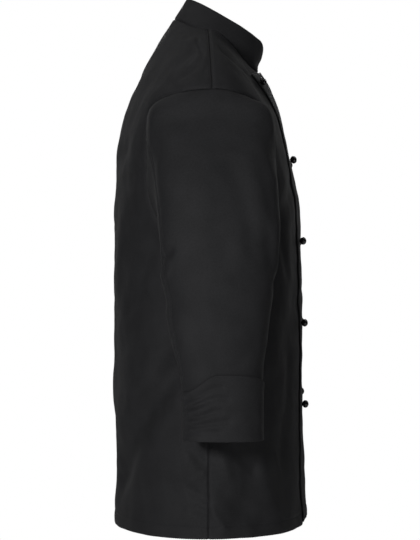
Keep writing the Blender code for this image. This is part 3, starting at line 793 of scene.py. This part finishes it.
def joined(grids):
    """The grids as one mesh with their shared edges joined: its points, normals and spots, and its faces."""
    flat = [np.concatenate([part.reshape(-1, part.shape[-1]) for part in parts]) for parts in zip(*grids)]
    points = flat[0]
    number = np.arange(len(points))
    names, start = [], 0
    for grid in grids:
        rows, columns = grid[0].shape[:2]
        names.append(start + np.arange(rows * columns).reshape(rows, columns))
        start += rows * columns
    borders = [line for name in names for line in (name[0], name[-1], name[:, 0], name[:, -1])]
    borders = np.unique(np.concatenate(borders))
    tree = tree_of(points, borders)
    for name in borders:
        number[name] = min(found[1] for found in tree.find_range(points[name], JOIN_REACH))
    used, place = np.unique(number, return_inverse=True)
    faces = []
    for grid, name in zip(grids, names):
        across, down = np.gradient(grid[0], axis=1), np.gradient(grid[0], axis=0)
        turn = 1 if np.sum(np.cross(down, across) * grid[1]) > 0 else -1
        name = place[name]
        corners = np.stack([name[:-1, :-1], name[1:, :-1], name[1:, 1:], name[:-1, 1:]], axis=-1)
        for face in corners.reshape(-1, 4).tolist():
            kept = list(dict.fromkeys(face))
            if len(kept) > 2:
                faces.append(kept[::turn])
    return [part[used] for part in flat], faces


def free_edges(faces):
    edges = {edge for face in faces for edge in zip(face, face[1:] + face[:1])}
    return [edge for edge in sorted(edges) if (edge[1], edge[0]) not in edges]


def to_scene(points):
    return (points - (0, 0, HOLD_HEIGHT)) * MM


def add_object(name, data):
    made = bpy.data.objects.new(name, data)
    scene.collection.objects.link(made)
    return made


def add_mesh(name, points, faces, finish):
    mesh = bpy.data.meshes.new(name)
    mesh.from_pydata(points.tolist(), [], faces)
    mesh.shade_smooth()
    mesh.materials.append(finish)
    made = add_object(name, mesh)
    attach(made, "root")
    return made


pieces = {}


def cloth_piece(node, grids, relief, seams=(), thickness=CLOTH, thick_edge=None):
    """One shell of cloth: its face, its inside and a rounded edge, with the weave's spots in metres.

    Each grid holds points, normals and spots on the cloth, in millimetres. Near the seams the normals turn
    to the seam's own, so that both pieces meet there.
    """
    (points, normals, spots), faces = joined(grids)
    for seam in seams:
        away, nearest = LINES[seam].near(points)
        share = (1 - ease(0, MITRE_REACH, away))[:, None]
        normals = unit(normals * (1 - share) + LINES[seam].normals[nearest] * share)
    outer = points + normals * relief(points, spots)[:, None]
    if thick_edge:
        away, _ = LINES[thick_edge].near(points)
        thickness = blend(thickness, EDGE_CLOTH, ease(*EDGE_FACING, away)[:, None])
    inner = outer - normals * thickness
    count = len(points)
    edges = free_edges(faces)
    rim = np.array(sorted({name for edge in edges for name in edge}))
    outward = np.zeros_like(outer)
    for start, end in edges:
        out = np.cross(outer[end] - outer[start], normals[start])
        outward[start] += out
        outward[end] += out
    depth = np.linalg.norm(outer[rim] - inner[rim], axis=1, keepdims=True)
    rim_points = (outer[rim] + inner[rim]) / 2 + unit(outward[rim]) * depth * EDGE_ROUND
    middle = {name: 2 * count + k for k, name in enumerate(rim.tolist())}
    rim_faces = []
    for start, end in edges:
        rim_faces.append([end, start, middle[start], middle[end]])
        rim_faces.append([middle[end], middle[start], start + count, end + count])
    every_face = faces + [[corner + count for corner in face[::-1]] for face in faces] + rim_faces
    every_point = to_scene(np.concatenate([outer, inner, rim_points]))
    made = add_mesh(f"{node}_cloth", every_point, every_face, CLOTH_FINISH)
    layer = made.data.uv_layers.new(name="cloth")
    on_cloth = np.concatenate([spots, spots, spots[rim]]) * MM
    corners = np.empty(len(made.data.loops), int)
    made.data.loops.foreach_get("vertex_index", corners)
    layer.data.foreach_set("uv", on_cloth[corners].astype(np.float32).ravel())
    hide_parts(node)
    pieces[node] = made


# -------- materials


def put(node, values):
    """Sets a node's inputs by their names."""
    for name, value in values.items():
        node.inputs[name].default_value = value


def shader(name, colour, roughness):
    finish = bpy.data.materials.new(name)
    finish.use_nodes = True
    principled = finish.node_tree.nodes["Principled BSDF"]
    put(principled, {"Base Color": (*colour, 1), "Roughness": roughness})
    return finish, finish.node_tree, principled


def maths(tree, operation, *values):
    made = tree.nodes.new("ShaderNodeMath")
    made.operation = operation
    for socket, value in zip(made.inputs, values):
        if isinstance(value, (int, float)):
            socket.default_value = value
        else:
            tree.links.new(value, socket)
    return made.outputs[0]


def noise(tree, place, scale, detail):
    made = tree.nodes.new("ShaderNodeTexNoise")
    put(made, {"Scale": scale, "Detail": detail})
    tree.links.new(place, made.inputs["Vector"])
    return made.outputs["Fac"]


def twill(name, colour, roughness):
    """A fine cotton twill: diagonal ribs by the cloth's own places, uneven yarns and flecks."""
    finish, tree, principled = shader(name, colour, roughness)
    link = tree.links.new
    place = tree.nodes.new("ShaderNodeUVMap")
    place.uv_map = "cloth"
    split = tree.nodes.new("ShaderNodeSeparateXYZ")
    link(place.outputs[0], split.inputs[0])
    yarn, cloud, fleck = [noise(tree, place.outputs[0], *size) for size in (YARN, CLOUD, FLECK)]
    across = maths(tree, "MULTIPLY", split.outputs[0], 2 * pi / TWILL_PITCH)
    up = maths(tree, "MULTIPLY", split.outputs[1], 2 * pi / (TWILL_PITCH * TWILL_SLANT))
    rib = maths(tree, "SINE", maths(tree, "ADD", across, up))
    bump = tree.nodes.new("ShaderNodeBump")
    put(bump, TWILL_BUMP)
    link(maths(tree, "ADD", rib, yarn), bump.inputs["Height"])
    link(bump.outputs[0], principled.inputs["Normal"])
    tone = tree.nodes.new("ShaderNodeMapRange")
    put(tone, TONE)
    link(maths(tree, "MULTIPLY_ADD", fleck, 0.5, maths(tree, "MULTIPLY", cloud, 0.5)), tone.inputs["Value"])
    mix = tree.nodes.new("ShaderNodeVectorMath")
    mix.operation = "SCALE"
    mix.inputs[0].default_value = colour
    link(tone.outputs[0], mix.inputs["Scale"])
    link(mix.outputs[0], principled.inputs["Base Color"])
    rough = maths(tree, "MULTIPLY_ADD", yarn, YARN_ROUGHNESS, roughness - YARN_ROUGHNESS / 2)
    link(rough, principled.inputs["Roughness"])
    put(principled, CLOTH_SHINE)
    return finish


def uneven(name, colour, shine, roughness, scale, span, low):
    """A plain finish whose roughness follows a noise that is fixed to the piece."""
    finish, tree, principled = shader(name, colour, roughness)
    place = tree.nodes.new("ShaderNodeTexCoord").outputs["Object"]
    rough = maths(tree, "MULTIPLY_ADD", noise(tree, place, scale, 2), span, low)
    tree.links.new(rough, principled.inputs["Roughness"])
    put(principled, shine)
    return finish


CLOTH_FINISH = twill("black_twill", CLOTH_COLOUR, CLOTH_ROUGHNESS)
THREAD_FINISH = uneven("black_thread", THREAD_COLOUR, THREAD_SHINE, *THREAD_ROUGHNESS)
BUTTON_FINISH = uneven("black_plastic", BUTTON_COLOUR, BUTTON_SHINE, *BUTTON_ROUGHNESS)

# -------- the pieces


def over_form(angle, level):
    """The over front's face: the body lifted off the under front, its long edge curling a little away."""
    base = body_base(angle, level)
    lift = over_lift(base[..., 0], level)
    reach = np.interp(level, *np.array(OVER_REACH, float).T)
    near_edge = ease(CURL_REACH, 0, reach - base[..., 0])
    lift = lift + EDGE_CURL * near_edge * ease(*CURL_LOW, level) * ease(*CURL_HIGH, level)
    return body_form(angle, level) + lift[..., None] * surface_normals(body_form, angle, level)


def body_grid(surface, angle, level):
    angle, level = np.broadcast_arrays(angle, level)
    spots = np.stack([angle * FOLD_RADIUS, level], axis=-1)
    return surface(angle, level), surface_normals(surface, angle, level), spots


def sleeve_grid(side, around, along):
    along = along * np.ones(len(around))
    spots = np.stack([around * SLEEVE_GIRTH * np.ones_like(along), along * SLEEVE_LENGTH], axis=-1)
    return sleeve_form(side, around, along), sleeve_normals(sleeve_form, side, around, along), spots


def relief(seams, folds, seed, edges=(), fade=None):
    """Heights over a piece's form: seams, edges, creases and the soft unevenness of worn cloth."""

    def heights(points, spots):
        total = np.zeros(len(points))
        nearest_seam = np.full(len(points), np.inf)
        for name, dip, stitch, pucker, ledge in seams:
            away, nearest = LINES[name].near(points)
            nearest_seam = np.minimum(nearest_seam, away)
            total += seam_relief(away, dip, stitch) - ledge * np.exp(-((away / LEDGE_WIDTH) ** 2))
            run = LINES[name].run[nearest]
            size = pucker * (PUCKER_MEAN + PUCKER_CHANGE * waves(run, PUCKER_PATCH, PATCH_SEED))
            wave = size * waves(run, PUCKER_LENGTH, PUCKER_SEED)
            total += wave * np.exp(-((away / PUCKER_REACH) ** 2)) * ease(0, PUCKER_START, away)
        for name, stitch in edges:
            away, _ = LINES[name].near(points)
            total += seam_relief(away, 0, stitch)
        total += softness(points, SOFT_WAVES, seed) * ease(0, SOFT_START, nearest_seam)
        total += fold_depth(folds, *spots.T)
        return total * (fade(spots) if fade else 1)

    return heights


def mirrored(table):
    return [(-row[0], row[1], -row[2], *row[3:]) for row in table]


def moved(table, across):
    return [(row[0] + across, row[1], row[2] + across, *row[3:]) for row in table]


left_creases = scaled(mirrored(BODY_CREASES), PER_DEGREE, 1)
body_creases = scaled(BODY_CREASES, PER_DEGREE, 1) + left_creases + moved(left_creases, 360 * PER_DEGREE)
body_creases += scaled(CENTRE_CREASES, PER_DEGREE, 1)


def add_body_piece(node, grids, words, edges, thick_edge=None):
    """A front or the back, with its seams on the given sides."""
    seams = seams_of(BODY_SEAMS, *words) + NECK_SEAM
    mitres = [f"armhole_{word}" for word in words] + ["neck"]
    cloth_piece(node, grids, relief(seams, body_creases, BODY_SEED, edges), mitres, thick_edge=thick_edge)


def add_back():
    grids = []
    for angle, level in half_blocks(False):
        grids += [body_grid(body_form, pi - angle, level), body_grid(body_form, pi + angle, level)]
    LINES["hem_back"] = body_line(np.linspace(pi / 2, 3 * pi / 2, 1200), 0)
    add_body_piece("back", grids, ("right", "left"), [("hem_back", HEM_STITCH)])


def add_under_front():
    grids = [body_grid(body_form, angle, level) for angle, level in half_blocks(True)]
    flap = overlap_blocks(UNDER_REACH, UNDER_CORNER_LEVEL)
    grids += [body_grid(body_form, -angle, level) for angle, level in flap]
    LINES["hem_right"] = body_line(np.linspace(pi / 2, UNDER_HEM_END, 700), 0)
    add_body_piece("front_right", grids, ("right",), [("hem_right", HEM_STITCH)])


def add_over_front():
    main = [body_grid(over_form, -angle, level) for angle, level in half_blocks(True, OVER_HEM_RISE)]
    flap = overlap_blocks(OVER_REACH, OVER_CORNER_LEVEL, OVER_HEM_RISE)
    strip = [body_grid(over_form, angle, level) for angle, level in flap]
    edge = [np.concatenate([grid[part][:, -1] for grid in strip]) for part in (0, 1)]
    LINES["over_edge"] = Line(*edge)
    hem = [np.concatenate([main[0][part][0][::-1], strip[0][part][0][1:]]) for part in (0, 1)]
    LINES["hem_left"] = Line(*hem)
    edges = [("hem_left", HEM_STITCH), ("over_edge", TOPSTITCH)]
    add_body_piece("front_left", main + strip, ("left",), edges, "over_edge")


def fade_in_cuff(spots):
    return 1 - ease(CUFF_TOP_FRONT - CUFF_FADE, CUFF_TOP_FRONT, spots[:, 1] / SLEEVE_LENGTH)


def add_sleeve_part(node, side, word, start, end, seams):
    """One cloth of a sleeve, between two shares round it."""
    rows = (places(SLEEVE_LENGTH * SLEEVE_HEM, SEAM_STEPS) * SLEEVE_HEM)[:, None]
    around = start + places((end - start) * SLEEVE_GIRTH, SEAM_STEPS, SEAM_STEPS, SLEEVE_STEP) * (end - start)
    creases = scaled(SLEEVE_CREASES, SLEEVE_GIRTH, SLEEVE_LENGTH)
    form = relief(seams_of(seams, word), creases, SLEEVE_SEED, fade=fade_in_cuff)
    cloth_piece(f"{node}_{word}", [sleeve_grid(side, around, rows)], form, (f"armhole_{word}",))


def cuff_relief(points, spots):
    total = fold_depth(CUFF_CREASES, *spots.T) + softness(points, CUFF_WAVES, CUFF_SEED)
    return total + CUFF_FLARE * np.exp(-((spots[:, 1] / CUFF_FLARE_REACH) ** 2))


def add_cuff(side, word):
    around = np.linspace(0, 1, CUFF_SIDES + 1)
    end_y = sleeve_form(side, around, np.ones((1, len(around))))[0, :, 1]
    top = blend(CUFF_TOP_FRONT, CUFF_TOP_BACK, ease(*CUFF_TOP_RISE, end_y))
    steps = places(CUFF_HEIGHT, CUFF_STEPS, CUFF_STEPS, FINE_STEP)[:, None]
    points, normals, spots = sleeve_grid(side, around, blend(top, 1, steps))
    points = points + normals * (CUFF_CLEARANCE + CUFF_WALL)
    spots[..., 1] = steps * CUFF_HEIGHT
    cloth_piece(f"cuff_{word}", [(points, normals, spots)], cuff_relief, thickness=CUFF_CLOTH)


def collar_relief(points, spots):
    away, _ = LINES["neck"].near(points)
    total = seam_relief(away, NECK_DIP, 0) + softness(points, COLLAR_WAVES, COLLAR_SEED)
    from_end = np.minimum(spots[:, 0], collar_run[-1] - spots[:, 0])
    tuck = END_TUCK * np.exp(-(((spots[:, 1] - END_TUCK_HEIGHT) / END_TUCK_WIDTH) ** 2))
    total -= tuck * ease(END_TUCK_REACH, 0, from_end)
    return total + fold_depth(COLLAR_CREASES, *spots.T)


def add_collar():
    height = np.linalg.norm(collar_points - collar_points[:1], axis=-1)
    spots = np.stack([collar_run * np.ones_like(height), height], axis=-1)
    grid = (collar_points, collar_normals, spots)
    cloth_piece("collar", [grid], collar_relief, ("neck",), COLLAR_CLOTH)


add_back()
add_under_front()
add_over_front()
for side, word in SIDES:
    add_sleeve_part("top_sleeve", side, word, INNER_SEAM, BACK_SEAM, TOP_SLEEVE_SEAMS)
    add_sleeve_part("under_sleeve", side, word, BACK_SEAM, 1 + INNER_SEAM, UNDER_SLEEVE_SEAMS)
    add_cuff(side, word)
add_collar()

# -------- stitches


def row_of_stitches(seam, offset, skip=(3, 3)):
    """Places and directions of the stitches that follow a seam at a distance from it."""
    line = LINES[seam]
    along = unit(np.gradient(line.points, axis=0))
    path = line.points + unit(np.cross(line.normals, along)) * offset
    run = run_along(path)
    middles = np.arange(skip[0], run[-1] - skip[1], STITCH_PITCH)
    return points_at(middles, run, path), unit(points_at(middles, run, along))


def tube_faces(rings, sides, first=0):
    """The faces between rings of points, which are numbered ring by ring."""
    faces = []
    for low in range(first, first + sides * (rings - 1), sides):
        for k in range(sides):
            after = (k + 1) % sides
            faces.append([low + k, low + after, low + sides + after, low + sides + k])
    return faces


def stitch_shape():
    """One raised thread along X, its ends drawn into the cloth: its points in millimetres and its faces."""
    rings = [(-station, width, height) for station, width, height in HALF_STITCH[::-1]] + list(HALF_STITCH)
    points = []
    for station, width, height in rings:
        radius = width * STITCH_RADIUS
        for turn in np.linspace(0, 2 * pi, STITCH_SIDES + 1)[:-1]:
            across = radius * cos(turn), radius * sin(turn) + height
            points.append((station * STITCH_LENGTH / 2, *across))
    faces = tube_faces(len(rings), STITCH_SIDES)
    faces += [list(range(STITCH_SIDES))[::-1], list(range(len(points) - STITCH_SIDES, len(points)))]
    return np.array(points), faces


def add_stitches(node, rows):
    """The stitches of a piece, which follow its face."""
    piece = pieces[node]
    surface = [face.vertices[:] for face in piece.data.polygons]
    tree = BVHTree.FromPolygons([vertex.co for vertex in piece.data.vertices], surface)
    shape, shape_faces = stitch_shape()
    points, faces = [], []
    for place, direction in zip(*[np.concatenate(part) for part in zip(*rows)]):
        spot, normal, _, _ = tree.find_nearest(Vector(to_scene(place)))
        normal = np.array(normal)
        ahead = unit(direction - normal * (direction @ normal))
        axes = np.stack([ahead, np.cross(normal, ahead), normal])
        first = len(points) * len(shape)
        points.append(np.array(spot) + shape @ axes * MM)
        faces += [[corner + first for corner in face] for face in shape_faces]
    add_mesh(f"{node}_stitches", np.concatenate(points), faces, THREAD_FINISH)


add_stitches("back", [row_of_stitches("hem_back", HEM_STITCH)])
under_rows = [row_of_stitches("hem_right", -HEM_STITCH), row_of_stitches("shoulder_right", CLOSE_STITCH)]
add_stitches("front_right", under_rows)
over_rows = [row_of_stitches("hem_left", HEM_STITCH), row_of_stitches("shoulder_left", -CLOSE_STITCH)]
add_stitches("front_left", over_rows + [row_of_stitches("over_edge", TOPSTITCH, EDGE_SKIP)])
for _, word in SIDES:
    add_stitches(f"top_sleeve_{word}", [row_of_stitches(f"back_seam_{word}", TOPSTITCH, SLEEVE_SKIP)])

# -------- buttons


def ball_shape():
    """A polished ball on a short neck, along Z from the button's foot: its points and its faces."""
    half = BUTTON_RADIUS * BALL_SQUASH
    turns = np.linspace(pi / 2, -radians(BALL_LOW), 15)[1:]
    radii = [*(BUTTON_RADIUS * np.cos(turns)), BUTTON_NECK, BUTTON_NECK]
    heights = [*(BUTTON_HEIGHT - half + half * np.sin(turns)), NECK_TOP, -BUTTON_STANDOFF]
    around = np.linspace(0, 2 * pi, BUTTON_SIDES + 1)[:-1]
    points = [(0, 0, BUTTON_HEIGHT)]
    for radius, height in zip(radii, heights):
        points += [(radius * cos(turn), radius * sin(turn), height) for turn in around]
    faces = [[0, 1 + k, 1 + (k + 1) % BUTTON_SIDES] for k in range(BUTTON_SIDES)]
    faces += [[face[0], *face[:0:-1]] for face in tube_faces(len(radii), BUTTON_SIDES, 1)]
    faces.append(list(range(len(points) - BUTTON_SIDES, len(points)))[::-1])
    return np.array(points), faces


def add_button(node, x, height):
    """A ball button on the over front, at a distance from the middle and a height above the hem."""
    levels = np.linspace(100, NECK_LEVEL - 10, 300)
    heights = body_base(angle_at_x(x, levels), levels)[:, 2]
    level = np.array([np.interp(height, heights, levels)])
    angle = angle_at_x(x, level)
    point, normal = over_form(angle, level)[0], surface_normals(over_form, angle, level)[0]
    turn = np.array(Vector(normal).to_track_quat("Z", "Y").to_matrix())
    placed = ball_points @ turn.T + point + normal * BUTTON_STANDOFF
    made = add_mesh(f"{node}_ball", to_scene(placed), ball_faces, BUTTON_FINISH)
    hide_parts(node)


ball_points, ball_faces = ball_shape()
for number, (height, right_x, left_x, left_rise) in enumerate(BUTTON_ROWS, start=1):
    add_button(f"button_right_{number}", right_x, height)
    add_button(f"button_left_{number}", -left_x, height + left_rise)

# -------- flat sizes of the cloth pieces

# Flat width, length and area in metres, and what each piece rests on.
FLATS = {
    "back": (0.62, 0.80, 0.44, ("front_right", "front_left", "collar")),
    "front_left": (0.394, 0.75, 0.27, ("front_right", "back", "collar")),
    "front_right": (0.378, 0.75, 0.255, ("back", "collar")),
    "collar": (0.42, 0.05, 0.019, ("back", "front_right", "front_left")),
    "top_sleeve": (0.245, 0.52, 0.115, ("back", "front_{}")),
    "under_sleeve": (0.206, 0.42, 0.062, ("back", "front_{}")),
    "cuff": (0.31, 0.09, 0.0245, ("top_sleeve_{}", "under_sleeve_{}")),
}
for name, piece in pieces.items():
    kind, _, word = name.rpartition("_")
    width, length, area, under = FLATS[name if name in FLATS else kind]

# -------- floor, light and camera


bpy.ops.mesh.primitive_circle_add(vertices=96, radius=2.2, fill_type="NGON", location=(0, 0, FLOOR_HEIGHT))
floor = bpy.context.object
floor.name = "floor"
floor.data.materials.append(uneven("pale_floor", FLOOR_COLOUR, {}, *FLOOR_ROUGHNESS))


def area_light(name, place, width, height, power):
    """A rectangular light that shines on the jacket's middle and isn't seen itself."""
    data = bpy.data.lights.new(name, "AREA")
    data.shape = "RECTANGLE"
    data.size, data.size_y = width, height
    data.energy = power
    made = add_object(name, data)
    made.location = place
    made.visible_camera = False
    made.rotation_euler = (LIGHT_TARGET - place).to_track_quat("-Z", "Y").to_euler()


for name, (azimuth, elevation, away, width, height, power) in LIGHTS.items():
    turn, climb = radians(azimuth), radians(elevation)
    heading = Vector((-cos(turn) * cos(climb), sin(turn) * cos(climb), sin(climb)))
    area_light(name, LIGHT_TARGET + heading * away, width, height, power)

world = bpy.data.worlds.new("studio")
scene.world = world
world.use_nodes = True
nodes, links = world.node_tree.nodes, world.node_tree.links
seen = nodes["Background"]
lit = nodes.new("ShaderNodeBackground")
mix = nodes.new("ShaderNodeMixShader")
path = nodes.new("ShaderNodeLightPath")
put(seen, {"Color": (1, 1, 1, 1), "Strength": 1.0})
put(lit, {"Color": (1, 1, 1, 1), "Strength": WORLD_LIGHT})
links.new(path.outputs["Is Camera Ray"], mix.inputs[0])
links.new(lit.outputs[0], mix.inputs[1])
links.new(seen.outputs[0], mix.inputs[2])
links.new(mix.outputs[0], nodes["World Output"].inputs["Surface"])

scene.view_settings.view_transform = "Standard"

camera_data = bpy.data.cameras.new("camera")
camera_data.lens = CAMERA_LENS
camera_data.sensor_width = 36
camera = add_object("camera", camera_data)
camera.location = CAMERA_PLACE
camera.rotation_euler = (pi / 2, 0, -pi / 2)
scene.camera = camera
